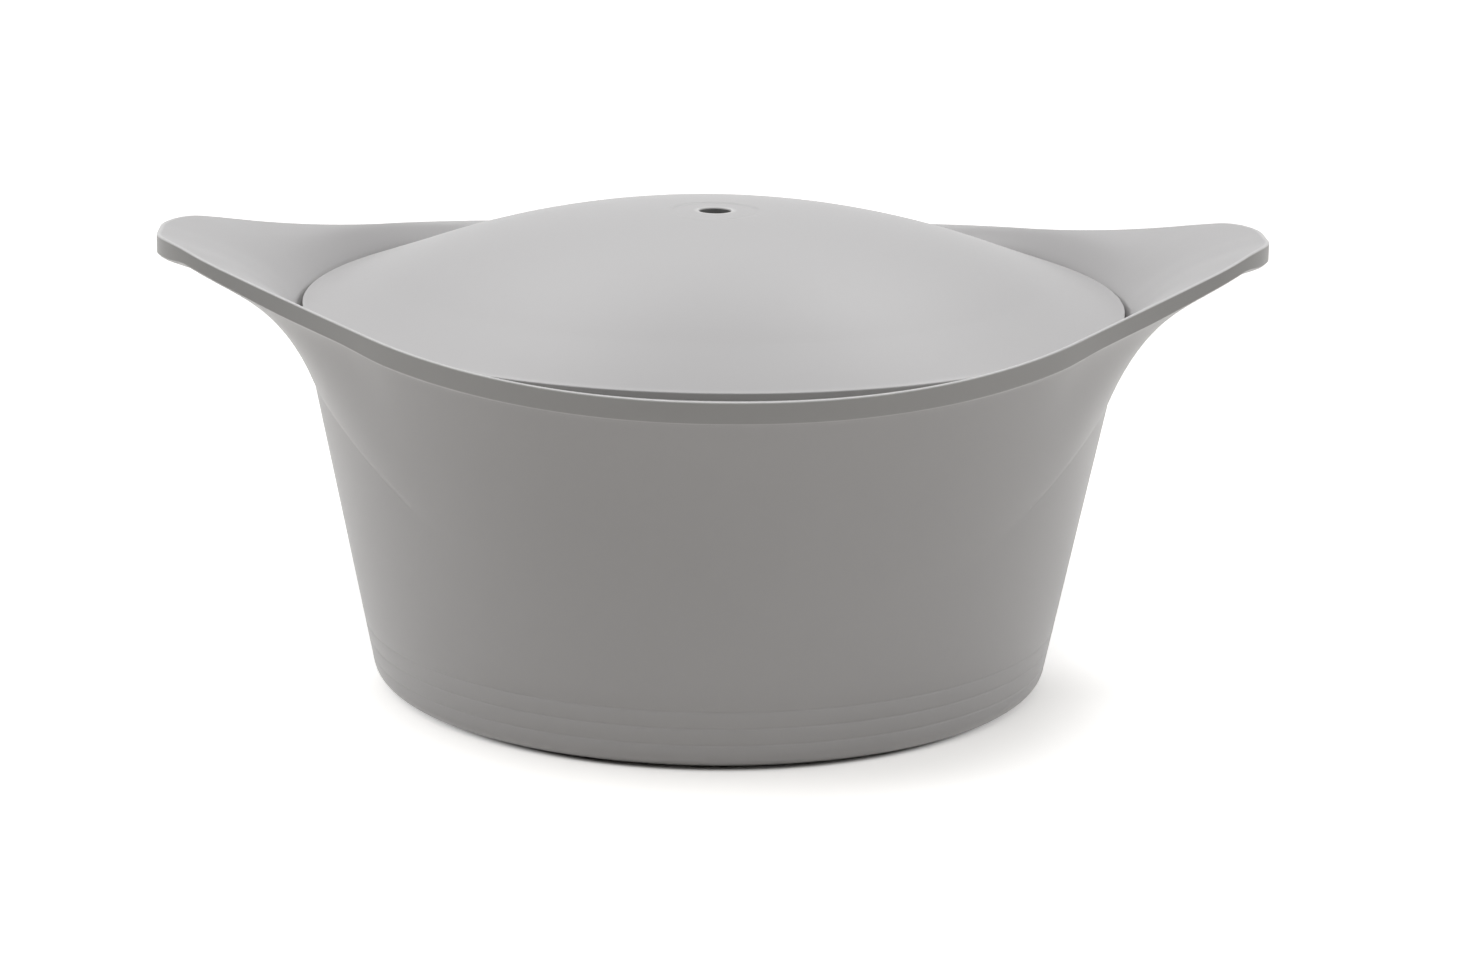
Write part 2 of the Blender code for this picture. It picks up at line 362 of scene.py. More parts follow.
class SweepTree:
    """Geometry tree that turns a line of rows into a closed skin round the axis."""

    MERGE_DISTANCE = 1e-6
    ROUNDING_GUARD = 1e-4
    STORED = {"data_type": "FLOAT", "domain": "POINT"}

    def __init__(self, name: str, sizes: Optional[object] = None) -> None:
        """Makes the tree with its sockets.

        Args:
            name: The tree's name.
            sizes: A dataclass whose fields become named inputs of the tree, if it has any.
        """
        self.tree = bpy.data.node_groups.new(name, "GeometryNodeTree")
        labels = {size: size_label(size) for size in size_names(sizes)}
        kinds = {"Rows": "Geometry", "Sides": "Int", "Finish": "Material"}
        kinds |= {label: "Float" for label in labels.values()}
        socket = self.tree.interface.new_socket
        for label, kind in kinds.items():
            socket(label, in_out="INPUT", socket_type="NodeSocket" + kind)
        socket("Skin", in_out="OUTPUT", socket_type="NodeSocketGeometry")
        self.given = self.tree.nodes.new("NodeGroupInput").outputs
        numbers = {size: Field(self.tree, self.given[label]) for size, label in labels.items()}
        self.sizes = SimpleNamespace(**numbers)

    def build(self) -> NodeTree:
        """Adds the nodes, which roll a grid of points round the axis and dress it.

        Returns:
            The finished tree.
        """
        given, tree = self.given, self.tree
        count = first_output(tree, "GeometryNodeAttributeDomainSize", Geometry=given["Rows"])
        sides, index = Field(tree, given["Sides"]), first_output(tree, "GeometryNodeInputIndex")
        grid = add_node(tree, "GeometryNodeMeshGrid", Vertices_X=sides + 1.0, Vertices_Y=count)
        column = (index / count + self.ROUNDING_GUARD).whole()
        self.row = index - column * count
        place = self.place(column * math.tau / sides)
        marks = [{"Name": name, "Value": self.mark(name)} for name in MARKS]
        skin = grid.outputs["Mesh"]
        for change, settings, inputs in (
            ("SetPosition", None, {"Position": place}),
            *(("StoreNamedAttribute", self.STORED, mark) for mark in marks),
            ("MergeByDistance", None, {"Distance": self.MERGE_DISTANCE}),
            ("RealizeInstances", None, {}),
            ("SetMaterial", None, {"Material": given["Finish"]}),
        ):
            node = add_node(tree, "GeometryNode" + change, settings, Geometry=skin, **inputs)
            skin = node.outputs["Geometry"]
        add_node(tree, "NodeGroupOutput", Skin=skin)
        return tree

    def sampled(self, name: str, kind: str = "FLOAT") -> Field:
        """A named value of the row that a point belongs to."""
        kept = first_output(self.tree, "GeometryNodeInputNamedAttribute", {"data_type": kind}, name)
        return self._sample(kept, kind)

    def mark(self, name: str) -> Field:
        """The value of a mark that the skin keeps for its finish."""
        return self.sampled(name)

    def _sample(self, value: Field, kind: str) -> Field:
        """Reads a value at the row that a point belongs to.

        Args:
            value: The value at each row.
            kind: Its data type.

        Returns:
            The value at each point of the skin.
        """
        settings = self.STORED | {"data_type": kind}
        inputs = {"Geometry": self.given["Rows"], "Value": value, "Index": self.row}
        return first_output(self.tree, "GeometryNodeSampleIndex", settings, **inputs)

    def outline(self) -> Pair:
        """Radius and height of the row that a point belongs to."""
        here = first_output(self.tree, "GeometryNodeInputPosition")
        return tuple(parts_of(self.tree, self._sample(here, "FLOAT_VECTOR"))[::2])

    def joined(self, x: Field, y: Field, z: Field) -> Field:
        """Makes a vector of three numbers."""
        return first_output(self.tree, "ShaderNodeCombineXYZ", X=x, Y=y, Z=z)

    def place(self, turn: Field) -> Field:
        """Where a point goes that has this angle round the axis."""
        radius, height = self.outline()
        return self.joined(*step_at(turn, radius), height)


class WingedTree(SweepTree):
    """Sweep whose upper rows follow a rim that climbs and widens into two wings."""

    SMALL_TURN = 0.001
    SMALL_COSINE = 1e-4

    def place(self, turn: Field) -> Field:
        """Where each point goes.

        Args:
            turn: The point's angle round the axis, before rows crowd at the tips.

        Returns:
            The position.
        """
        azimuth = turn - 0.5 * self.sizes.tip_crowding * (2.0 * turn).sine()
        places = self._places(azimuth, abs(azimuth.cosine()), self.sampled("share"))
        zone = self.sampled("zone", "INT")
        radius, inset, height = (self._chosen(zone, values) for values in zip(*places))
        x, y = step_at(azimuth, radius)
        inward_x, inward_y = self._inward(azimuth)
        return self.joined(x + inset * inward_x, y + inset * inward_y, height)

    def mark(self, name: str) -> Field:
        """The value of a mark, with more painted shade on the upright faces of the wings.

        Args:
            name: The mark's name.

        Returns:
            Its value at each point of the skin.
        """
        value, s = super().mark(name), self.sizes
        if name != "bare":
            return value
        # Painted shade on the wings' upright face, growing towards the tips.
        wing_shading = smooth_step(self.side, s.wing_shade_from, s.wing_shade_full) * s.wing_shade
        return value * (wing_shading + 1.0)

    def _chosen(self, zone: Field, values: Iterable[Number]) -> Field:
        """Picks the value of a point's own zone.

        Args:
            zone: The zone's number at each point.
            values: One value for each zone, in the order of Zone.

        Returns:
            The chosen value.
        """
        node = add_node(self.tree, "GeometryNodeIndexSwitch", {"data_type": "FLOAT"})
        while len(node.index_switch_items) < len(Zone):
            node.index_switch_items.new()
        for slot, value in zip(node.inputs, (zone, *values)):
            feed(self.tree, slot, value)
        return Field(self.tree, node.outputs[0])

    def _rim_radius(self, azimuth: Field) -> Field:
        """How far the rim's outer edge is from the axis, seen from above.

        Args:
            azimuth: The point's azimuth.

        Returns:
            The distance.
        """
        s = self.sizes
        along = abs(azimuth.cosine()).at_most(1.0)
        to_end = s.wing_reach / along.at_least(self.SMALL_COSINE)
        turn = (s.wing_root_azimuth - along.angle_of_cosine()).at_least(0.0)
        centre = s.rim_radius + s.wing_edge_radius
        across = centre * turn.sine()
        reach = (s.wing_edge_radius * s.wing_edge_radius - across * across).at_least(0.0).root()
        to_edge = centre * turn.cosine() - reach
        share = (0.5 + 0.5 * (to_end - to_edge) / s.wing_corner_blend).within(0.0, 1.0)
        return blend(share, to_end, to_edge) - s.wing_corner_blend * share * (1.0 - share)

    def _inward(self, azimuth: Field) -> Pair:
        """Direction from the rim's outline inwards, square to it, seen from above.

        Args:
            azimuth: The point's azimuth.

        Returns:
            The two parts of the unit vector.
        """
        ends = (azimuth - self.SMALL_TURN, azimuth + self.SMALL_TURN)
        before, after = (step_at(end, self._rim_radius(end)) for end in ends)
        x, y = after[0] - before[0], after[1] - before[1]
        length = distance(x, y)
        return 0.0 - y / length, x / length

    def _rim_edges(self, side: Field) -> Pair:
        """Heights of the rim's top edge and of the lower edge of its upright face.

        Args:
            side: The point's distance from the middle plane.

        Returns:
            The two heights.
        """
        s = self.sizes
        climb = s.wing_rise * (side / s.wing_reach) ** s.wing_rise_power
        past_level = (side - s.tip_start).at_least(0.0) / (s.wing_reach - s.tip_start)
        top = s.rim_front_height + climb - s.tip_level_drop * past_level * past_level
        shoulder = smooth_step(side, s.shoulder_start, s.shoulder_end)
        wing = smooth_step(side, s.wing_thin_from, s.tip_start)
        tip = smooth_step(side, s.tip_start, s.tip_thick_from)
        band = blend(shoulder, s.band_front, s.band_shoulder)
        band = band + (s.band_wing - s.band_shoulder) * wing + (s.band_tip - s.band_wing) * tip
        return top, top - band

    def _cone_radius(self, height: Field) -> Field:
        """Radius of the bowl's outer cone at a height."""
        s = self.sizes
        return s.cone_radius + s.wall_slope * (height - s.cone_height)

    def _places(
        self, azimuth: Field, along: Field, share: Field
    ) -> list[tuple[Number, Number, Number]]:
        """Plan radius, inset from the rim's outline and height, for each zone.

        Args:
            azimuth: The point's azimuth.
            along: Size of the azimuth's cosine, which is 1 on the wings' middle line.
            share: How far through its zone the point is.

        Returns:
            The three numbers of each zone, in the order of Zone.
        """
        s = self.sizes
        turned_radius, turned_height = self.outline()
        rim = self._rim_radius(azimuth)
        self.side = side = rim * along
        top, bottom = self._rim_edges(side)
        lip = blend(smooth_step(side, s.lip_from, s.shoulder_start), s.lip_front, s.lip_wing)
        from_wing = along.at_most(1.0).angle_of_cosine()
        crease = 1.0 - smooth_step(from_wing, s.crease_full_to, s.crease_gone_by)
        drop = smooth_step(from_wing, s.flare_drop_from, s.flare_drop_to)
        start_height = s.rim_front_height - blend(drop, s.flare_depth_wing, s.flare_depth_front)
        start_radius = self._cone_radius(start_height)
        crease_height = start_height + s.crease_rise * crease
        crease_out = s.crease_step + s.wall_slope * s.crease_rise
        crease_radius = start_radius + crease_out * crease
        cone_height = blend(share, s.cone_height, start_height)
        tilts = (along**s.flare_tilt_growth, along**s.flare_tilt_power)
        flare = self._flare(share, tilts, (crease_radius, crease_height), (rim, bottom - lip))
        quarter = share * QUARTER_TURN
        chamfer, fold = s.rim_edge_chamfer, s.inner_flare_fold
        inner_radii = (rim, blend(fold, rim, s.ledge_radius), s.ledge_radius)
        foot = s.ledge_height + s.ledge_wall
        inner_heights = (top, blend(fold, foot, top), foot)
        inner_inset = (chamfer + s.rim_land) * bezier_point(share, (1.0, 1.0 - fold, 0.0))
        return [
            (turned_radius, 0.0, turned_height),
            (self._cone_radius(cone_height), 0.0, cone_height),
            (
                blend(share, start_radius, crease_radius),
                0.0,
                blend(share, start_height, crease_height),
            ),
            (flare[0], lip * share * share, flare[1]),
            (rim, lip * (1.0 - share), bottom - lip * (1.0 - share)),
            (rim, 0.0, blend(share, bottom, top - chamfer)),
            (rim, chamfer * (1.0 - quarter.cosine()), top - chamfer * (1.0 - quarter.sine())),
            (bezier_point(share, inner_radii), inner_inset, bezier_point(share, inner_heights)),
        ]

    def _flare(self, share: Field, tilts: Pair, start: Pair, end: Pair) -> Pair:
        """Point on the flare that leaves the cone and arrives under the rim.

        Args:
            share: How far along the flare.
            tilts: How much of the wings' first and last slope it has.
            start: Where the flare leaves the cone (radius, height).
            end: Where it arrives (radius, height).

        Returns:
            The point's radius and height.
        """
        s = self.sizes
        span = distance(end[0] - start[0], end[1] - start[1])
        leave_tilt = s.cone_tilt + s.flare_crease_wing * tilts[0]
        arrive_tilt = blend(tilts[1], s.flare_end_tilt_front, s.flare_end_tilt_wing)
        leave = step_at(leave_tilt, s.flare_start_reach * span)[::-1]
        arrive = step_at(arrive_tilt, s.flare_end_reach * span)[::-1]
        return tuple(
            bezier_point(share, (first, first + leaving, last - arriving, last))
            for first, leaving, arriving, last in zip(start, leave, arrive, end)
        )


# Finishes


class Effects:
    """Shader node groups that the finishes share.

    grain gives the height and the gloss of a sprayed coat, handling the broad unevenness that
    casting, spraying and wiping leave, and rubbed_and_highlit_edges a mask of the rubbed edges,
    where a highlight is painted.
    """

    def __init__(self) -> None:
        """Builds the groups."""
        scales = {"Peel scale": 900.0, "Grit scale": 3200.0, "Grit share": 0.3}
        self.grain = self._group("sprayed_grain", scales, self._grain)
        self.handling = self._group("handling", {"Scale": 14.0}, self._handling)
        breaks = {"Break-up scale": 160.0, "Break-up": 0.4}
        self.rubbed_and_highlit_edges = self._group("rubbed_and_highlit_edges", breaks, self._rubbed_and_highlit_edges)

    @staticmethod
    def _group(
        name: str, inputs: dict[str, float], work_out: Callable[..., dict[str, Field]]
    ) -> NodeTree:
        """Makes a group of nodes between float sockets.

        Args:
            name: The group's name.
            inputs: Name and default of each input.
            work_out: Adds the nodes and gives each output by name, from the tree and the inputs.

        Returns:
            The group.
        """
        tree = bpy.data.node_groups.new(name, "ShaderNodeTree")
        socket = tree.interface.new_socket
        for label, value in inputs.items():
            made = socket(label, in_out="INPUT", socket_type="NodeSocketFloat")
            made.default_value = value
        given = tree.nodes.new("NodeGroupInput").outputs
        outputs = work_out(tree, *(Field(tree, given[label]) for label in inputs))
        for label in outputs:
            socket(label, in_out="OUTPUT", socket_type="NodeSocketFloat")
        add_node(tree, "NodeGroupOutput", **outputs)
        return tree

    @staticmethod
    def _noise(tree: NodeTree, **inputs: Number) -> Field:
        """Noise over the surface, from 0 to 1."""
        return first_output(tree, "ShaderNodeTexNoise", Vector=object_place(tree), **inputs)

    @classmethod
    def _grain(cls, tree: NodeTree, peel: Field, grit: Field, share: Field) -> dict[str, Field]:
        """Adds the fine orange-peel texture of a sprayed coat.

        Args:
            tree: The group's own tree.
            peel: Scale of the orange peel.
            grit: Scale of the finer grit in it.
            share: How much of the texture is grit.

        Returns:
            The texture's height, and how far the gloss varies with it.
        """
        orange_peel = cls._noise(tree, Scale=peel, Detail=2.0)
        height = blend(share, orange_peel, cls._noise(tree, Scale=grit, Detail=1.0))
        return {"Height": height, "Gloss": orange_peel - 0.5}

    @classmethod
    def _handling(cls, tree: NodeTree, scale: Field) -> dict[str, Field]:
        """Broad, faint unevenness, from about -0.5 to 0.5."""
        return {"Unevenness": cls._noise(tree, Scale=scale, Detail=4.0, Distortion=0.6) - 0.5}

    @classmethod
    def _rubbed_and_highlit_edges(cls, tree: NodeTree, scale: Field, share: Field) -> dict[str, Field]:
        """Where edges are rubbed and carry a painted highlight, from 0 to 1, broken up so that the
        mark isn't even.
        """
        broken = 1.0 - share * cls._noise(tree, Scale=scale, Detail=3.0)
        return {"Mask": (mark_field(tree, "edge") * broken).within(0.0, 1.0)}


def mark_field(tree: NodeTree, name: str) -> Field:
    """A mark that the piece's skin keeps."""
    node = add_node(tree, "ShaderNodeAttribute", {"attribute_name": name})
    return Field(tree, node.outputs["Fac"])


def placed_group(tree: NodeTree, group: NodeTree, **values: float) -> list[Field]:
    """Places a shared group in a material with the material's own values; gives its outputs."""
    node = add_node(tree, "ShaderNodeGroup", {"node_tree": group}, **values)
    return [Field(tree, output) for output in node.outputs]


def mixed_colour(tree: NodeTree, share: Field, first: object, second: object) -> Field:
    """Mixes two colours, of which the second shows as far as the share says."""
    return first_output(tree, "ShaderNodeMixRGB", None, share, first, second)


@dataclass(frozen=True)
class Finish:
    """What every finish holds.

    Args:
        name: The material's name.
        colour: Its main colour.
        roughness: Its mean roughness.
    """

    name: str
    colour: Colour
    roughness: float

    def _start(self) -> tuple[Material, NodeTree, Node]:
        """Makes the material.

        Returns:
            The material, its node tree and its shader.
        """
        material = bpy.data.materials.new(self.name)
        material.use_nodes = True
        material.diffuse_color = self.colour
        return material, material.node_tree, material.node_tree.nodes["Principled BSDF"]

    @staticmethod
    def _dress(
        shader: Node, colour: object, shade: Field, roughness: Field, relief: Field, depth: float
    ) -> None:
        """Feeds the shader.

        Args:
            shader: The material's shader.
            colour: The surface's colour, or a socket that gives it.
            shade: What the colour is multiplied by.
            roughness: The surface's roughness.
            relief: How high the surface stands, from 0 to 1.
            depth: What a height of 1 stands for, in metres.
        """
        tree = shade.tree
        shaded = add_node(tree, "ShaderNodeHueSaturation", Color=colour, Value=shade)
        bump = add_node(tree, "ShaderNodeBump", Strength=1.0, Distance=depth, Height=relief)
        feed(tree, shader.inputs["Base Color"], shaded.outputs["Color"])
        feed(tree, shader.inputs["Roughness"], roughness)
        feed(tree, shader.inputs["Normal"], bump.outputs["Normal"])


@dataclass(frozen=True)
class SatinCoating(Finish):
    """Satin ceramic coating sprayed on cast aluminium.

    Args:
        upright_shade_colour: Painted shade on the rim's upright face and the lid's brim side.
        bore_shade_colour: Painted shade inside the vent's bore.
        worn_and_highlight_colour: Colour where edges are rubbed, which also paints a highlight
            along them.
        wear: How far the rubbed colour and its painted highlight show.
        unevenness: How far the colour varies over a hand's breadth.
        gloss_change: How far the roughness varies.
        grain_depth: Depth of the sprayed texture, in metres.
    """

    upright_shade_colour: Colour = (0.385, 0.378, 0.37, 1.0)
    bore_shade_colour: Colour = (0.22, 0.218, 0.214, 1.0)
    worn_and_highlight_colour: Colour = (0.76, 0.755, 0.75, 1.0)
    wear: float = 0.8
    unevenness: float = 0.04
    gloss_change: float = 0.08
    grain_depth: float = 0.00002

    def material(self, effects: Effects) -> Material:
        """Builds the material.

        Args:
            effects: The shared groups.

        Returns:
            The material.
        """
        material, tree, shader = self._start()
        height, gloss = placed_group(tree, effects.grain)
        (uneven,) = placed_group(tree, effects.handling)
        (rubbed,) = placed_group(tree, effects.rubbed_and_highlit_edges)
        # Painted shade: darker on the upright faces, and darker still in the vent's bore and far
        # out on the wings' upright face.
        bare = mark_field(tree, "bare") / UPRIGHT_SHADE
        colour = mixed_colour(tree, bare.at_most(1.0), self.colour, self.upright_shade_colour)
        colour = mixed_colour(tree, (bare - 1.0).at_least(0.0), colour, self.bore_shade_colour)
        # Painted highlight with rubbing along the edges.
        colour = mixed_colour(tree, rubbed * self.wear, colour, self.worn_and_highlight_colour)
        shade = uneven * self.unevenness + 1.0
        roughness = (gloss + uneven - rubbed) * self.gloss_change + self.roughness
        self._dress(shader, colour, shade, roughness, height, self.grain_depth)
        return material


@dataclass(frozen=True)
class TurnedSteel(Finish):
    """Ferritic steel with the fine rings that turning leaves.

    Args:
        ring_pitch: Distance between two rings, in metres.
        ring_depth: Depth of a ring, in metres.
        ring_gloss: How much the roughness follows the rings.
        handling_scale: Scale of the unevenness.
        gloss_change: How far the roughness varies.
    """

    ring_pitch: float = 0.0004
    ring_depth: float = 0.000006
    ring_gloss: float = 0.25
    handling_scale: float = 30.0
    gloss_change: float = 0.12

    def material(self, effects: Effects) -> Material:
        """Builds the material.

        Args:
            effects: The shared groups.

        Returns:
            The material.
        """
        material, tree, shader = self._start()
        shader.inputs["Metallic"].default_value = 1.0
        (uneven,) = placed_group(tree, effects.handling, Scale=self.handling_scale)
        x, y, _ = parts_of(tree, object_place(tree))
        ring = (distance(x, y) * (math.tau / self.ring_pitch) + uneven).sine()
        shade, relief = uneven * self.gloss_change + 1.0, ring * 0.5 + 0.5
        roughness = (uneven + ring * self.ring_gloss) * self.gloss_change + self.roughness
        self._dress(shader, self.colour, shade, roughness, relief, self.ring_depth)
        return material


# Pieces


@dataclass
class SweptPiece:
    """A closed piece that a geometry tree sweeps from rows.

    Args:
        sides: How many steps go round the axis.
        sharp_angle: Edges that fold by more than this are shaded crisp.
    """

    sides: int = 288
    sharp_angle: float = math.radians(40.0)

    def sweep(
        self,
        name: str,
        rows: list[Row],
        tree: NodeTree,
        material: Material,
        sizes: Optional[object] = None,
    ) -> Object:
        """Sweeps the rows and turns the result into a plain mesh.

        Args:
            name: Name of the piece.
            rows: Its rows, in order.
            tree: The geometry tree that sweeps them.
            material: Its finish.
            sizes: The dataclass whose fields the tree has as inputs, if it has any.

        Returns:
            The piece, at the origin, with no modifier.
        """
        piece = strip_object(name, rows)
        modifier = piece.modifiers.new("sweep", "NODES")
        modifier.node_group = tree
        values = {size_label(size): getattr(sizes, size) for size in size_names(sizes)}
        values |= {"Sides": self.sides, "Finish": material}
        for socket in tree.interface.items_tree:
            if socket.in_out == "INPUT" and socket.name in values:
                modifier[socket.identifier] = values[socket.name]
        graph = bpy.context.evaluated_depsgraph_get()
        mesh = bpy.data.meshes.new_from_object(
            piece.evaluated_get(graph), preserve_all_data_layers=True, depsgraph=graph
        )
        piece.modifiers.clear()
        piece.data = mesh
        mesh.name = name
        self._turn_faces_out(mesh)
        mesh.shade_smooth()
        mesh.set_sharp_from_angle(angle=self.sharp_angle)
        triangles = sum(len(face.vertices) - 2 for face in mesh.polygons)
        LOG.info("%s: %d rows, %d triangles", name, len(rows), triangles)
        return piece

    @staticmethod
    def _turn_faces_out(mesh: Mesh) -> None:
        """Points every face of a closed mesh outwards.

        Args:
            mesh: The mesh.
        """
        shape = bmesh.new()
        shape.from_mesh(mesh)
        bmesh.ops.recalc_face_normals(shape, faces=shape.faces)
        shape.to_mesh(mesh)
        shape.free()


@dataclass(frozen=True)
class RimSizes:
    """Sizes of the flared rim and its wings. Each is an input of the casting's geometry tree."""

    # How far the points crowd at the wings' tips
    tip_crowding: float = 0.5
    # The rim's top edge, and its upright face from the front to the tips of the wings
    rim_radius: float = 0.1338
    rim_front_height: float = 0.1174
    rim_edge_chamfer: float = 0.0003
    rim_land: float = 0.0006
    band_front: float = 0.0063
    band_shoulder: float = 0.0055
    band_wing: float = 0.0042
    band_tip: float = 0.0056
    shoulder_start: float = 0.0970
    shoulder_end: float = 0.1130
    wing_thin_from: float = 0.1240
    # The small lip under that face
    lip_from: float = 0.0500
    lip_front: float = 0.0002
    lip_wing: float = 0.0007
    # The wings, from above and from the front
    wing_reach: float = 0.1698
    wing_root_azimuth: float = math.radians(39.5)
    wing_edge_radius: float = 0.382
    wing_corner_blend: float = 0.0223
    wing_rise: float = 0.0238
    wing_rise_power: float = 2.37
    tip_start: float = 0.1591
    tip_thick_from: float = 0.1663
    tip_level_drop: float = 0.0022
    # The outer flare, from the cone to the lip
    flare_depth_front: float = 0.0710
    flare_depth_wing: float = 0.0196
    flare_drop_from: float = math.radians(5.0)
    flare_drop_to: float = math.radians(73.0)
    flare_tilt_growth: float = 3.0
    flare_crease_wing: float = math.radians(11.5)
    flare_end_tilt_front: float = math.radians(24.0)
    flare_end_tilt_wing: float = math.radians(70.5)
    flare_tilt_power: float = 7.0
    flare_start_reach: float = 0.56
    flare_end_reach: float = 0.22
    # The soft crease where it leaves the cone under the wings
    crease_step: float = 0.0009
    crease_rise: float = 0.0008
    crease_full_to: float = math.radians(16.0)
    crease_gone_by: float = math.radians(46.0)
    # The inner flare and the ledge at its foot
    inner_flare_fold: float = 0.7
    ledge_radius: float = 0.1269
    ledge_height: float = 0.1139
    ledge_wall: float = 0.0018
    # The bowl's outer cone
    wall_slope: float = 0.1986
    cone_tilt: float = math.atan(wall_slope)
    cone_radius: float = 0.108724
    cone_height: float = 0.0240
    # Painted shade on the wings' upright face, by distance from the middle plane
    wing_shade_from: float = 0.0700
    wing_shade_full: float = 0.1450
    wing_shade: float = 0.35


@dataclass
class PotCasting(SweptPiece):
    """The pot's body: bowl, lid ledge, rim and both wings in one casting.

    In the sizes of every piece, a round is the radius of a rounded edge, and a wear is how exposed
    an edge is to rubbing and how far a painted highlight shows along it, from 0 to 1.
    """

    rim: RimSizes = field(default_factory=RimSizes)
    # The bowl, from its mouth inside the ledge to its floor
    mouth_radius: float = 0.1225
    mouth_round: float = 0.0005
    mouth_wear_and_highlight: float = 0.6
    wall: float = 0.0040
    floor_height: float = 0.0061
    floor_round: float = 0.0100
    # The base, and the recess in it that holds the induction plate
    base_round: float = 0.0062
    underside_height: float = 0.0003
    recess_radius: float = 0.0882944
    recess_height: float = 0.0021
    recess_round: float = 0.0003
    recess_border: float = 0.003
    # The faint grooves round the base
    groove_heights: tuple[float, ...] = (0.0082, 0.0136, 0.0190)
    groove_width: float = 0.0012
    groove_depth: float = 0.00020
    # The rows of the rim's upright face, its edges, and how far down the inner flare the rubbing
    # and its painted highlight reach
    band_shares: tuple[float, ...] = (0.04, 0.5, 0.97)
    lip_wear_and_highlight: float = 0.5
    edge_wear_and_highlight: float = 1.0
    land_wear_and_highlight: float = 0.7
    worn_and_highlit_share: float = 0.012

    def inner_radius(self, height: float) -> float:
        """Radius of the bowl's inner cone at a height."""
        return self.mouth_radius - self.rim.wall_slope * (self.rim.ledge_height - height)

    def outer_radius(self, height: float) -> float:
        """Radius of the bowl's outer cone at a height."""
        return self.inner_radius(height) + self.wall / math.cos(self.rim.cone_tilt)

    def _corner_rows(
        self, cone_radius: Callable[[float], float], floor: float, radius: float, steps: int
    ) -> list[Row]:
        """Rows of the round between a level floor and a cone, from the floor up.

        Args:
            cone_radius: Gives the cone's radius at a height.
            floor: Height of the floor.
            radius: Radius of the round.
            steps: Number of strips.

        Returns:
            The rows.
        """
        tilt = self.rim.cone_tilt
        centre = (cone_radius(floor + radius) - radius / math.cos(tilt), floor + radius)
        return arc_rows(centre, radius, -QUARTER_TURN, -tilt, steps)

    def _groove_rows(self) -> list[Row]:
        """Rows of the outer wall from the rounded base up, past the faint grooves.

        Returns:
            The rows.
        """
        found = []
        half = 0.5 * self.groove_width
        for middle in self.groove_heights:
            for share in shares(steps=6):
                height = middle + half * (2.0 * share - 1.0)
                depth = self.groove_depth * 0.5 * (1.0 - math.cos(math.tau * share))
                found.append(Row(self.outer_radius(height) - depth, height))
        top = self.rim.cone_height
        return found + [Row(self.outer_radius(top), top)]

    def _underside_rows(self) -> list[Row]:
        """Rows from the middle of the recess to the top of the rounded base.

        Returns:
            The rows.
        """
        edge, under = self.recess_radius, self.underside_height
        base = self._corner_rows(self.outer_radius, under, self.base_round, steps=10)
        found = level_rows(self.recess_height, 0.0, edge, steps=6)
        found += [Row(edge, under + self.recess_round), Row(edge + self.recess_round, under)]
        return found + level_rows(under, edge + self.recess_border, base[0].radius, 2)[:-1] + base

    def _rim_rows(self) -> list[Row]:
        """Rows from the cone over the flare and the rim to the foot of the inner flare.

        Returns:
            The rows.
        """
        found = zone_rows(Zone.CONE, steps=18) + zone_rows(Zone.CREASE, steps=4)
        # The lip, the rim's edge and its land carry rubbing with a painted highlight.
        found += zone_rows(Zone.FLARE, steps=30) + zone_rows(Zone.LIP, steps=2, edge=self.lip_wear_and_highlight)
        # The rim's upright face carries painted shade.
        found += [Row(zone=Zone.BAND, share=share, bare=UPRIGHT_SHADE) for share in self.band_shares]
        found += zone_rows(Zone.EDGE, steps=4, edge=self.edge_wear_and_highlight)
        found += [Row(zone=Zone.INNER_FLARE, edge=self.land_wear_and_highlight)]
        found += [Row(zone=Zone.INNER_FLARE, share=self.worn_and_highlit_share)]
        return found + zone_rows(Zone.INNER_FLARE, steps=20)

    def _inside_rows(self) -> list[Row]:
        """Rows from the ledge down the inner wall to the middle of the floor.

        Returns:
            The rows.
        """
        mouth, small, ledge = self.mouth_radius, self.mouth_round, self.rim.ledge_height
        floor = self._corner_rows(self.inner_radius, self.floor_height, self.floor_round, steps=12)
        top, foot = ledge - 2.0 * small, (floor[-1].radius, floor[-1].height)
        found = level_rows(ledge, self.rim.ledge_radius, mouth + 2.0 * small, steps=3)
        middle = (mouth + small, ledge - small)
        found += arc_rows(middle, small, QUARTER_TURN, math.pi, steps=3, edge=self.mouth_wear_and_highlight)
        found += line_rows((self.inner_radius(top), top), foot, steps=16)[:-1] + floor[::-1]
        return found + level_rows(self.floor_height, floor[0].radius, 0.0, steps=10)[1:]

    def build(self, tree: NodeTree, material: Material) -> Object:
        """Builds the casting and puts it on the pot's body.

        Args:
            tree: The winged geometry tree.
            material: The coating.

        Returns:
            The piece.
        """
        rows = self._underside_rows() + self._groove_rows() + self._rim_rows()
        piece = self.sweep("pot_casting", rows + self._inside_rows(), tree, material, self.rim)
        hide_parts("pot_body")
        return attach(piece, "pot")


